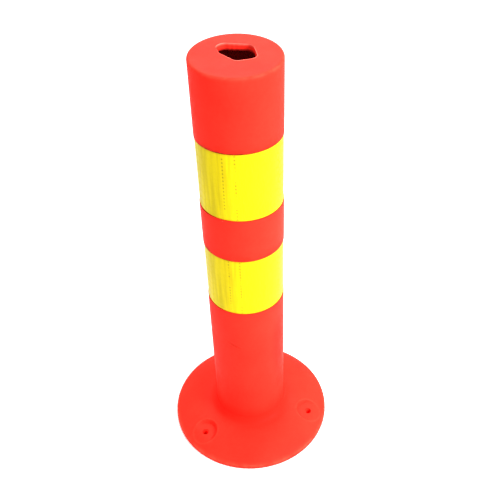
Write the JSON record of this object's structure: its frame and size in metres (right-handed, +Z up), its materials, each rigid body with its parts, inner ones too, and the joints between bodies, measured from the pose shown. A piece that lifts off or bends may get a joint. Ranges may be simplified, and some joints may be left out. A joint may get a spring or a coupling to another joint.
{
  "type": "flexible delineator post",
  "caption": "Flexible road delineator post: a hollow soft tube with a round bolt-down foot, an opening in its closed top and two wrapped bands of reflective sheeting.",
  "frame": {"origin": "centre of the foot's underside, on the road", "axes": "+Z up along the tube, +Y towards the anchor hole at the back, +X to the right"},
  "size_m": [0.182, 0.182, 0.4527],
  "materials": {
    "moulding": "satin",
    "sheeting": "gloss"
  },
  "bodies": {
    "base": {"foot": "moulding", "flex_neck": "moulding"},
    "mast": {"post_tube": "moulding", "upper_band": "sheeting", "lower_band": "sheeting"}
  },
  "joints": [
    {"name": "lean", "type": "hinge", "parent": "base", "child": "mast", "pos_m": [0, 0, 0.109], "axis": [0, 1, 0], "range_deg": [-90, 90], "stiffness_Nm_per_rad": 20, "deforming": ["flex_neck"]}
  ]
}
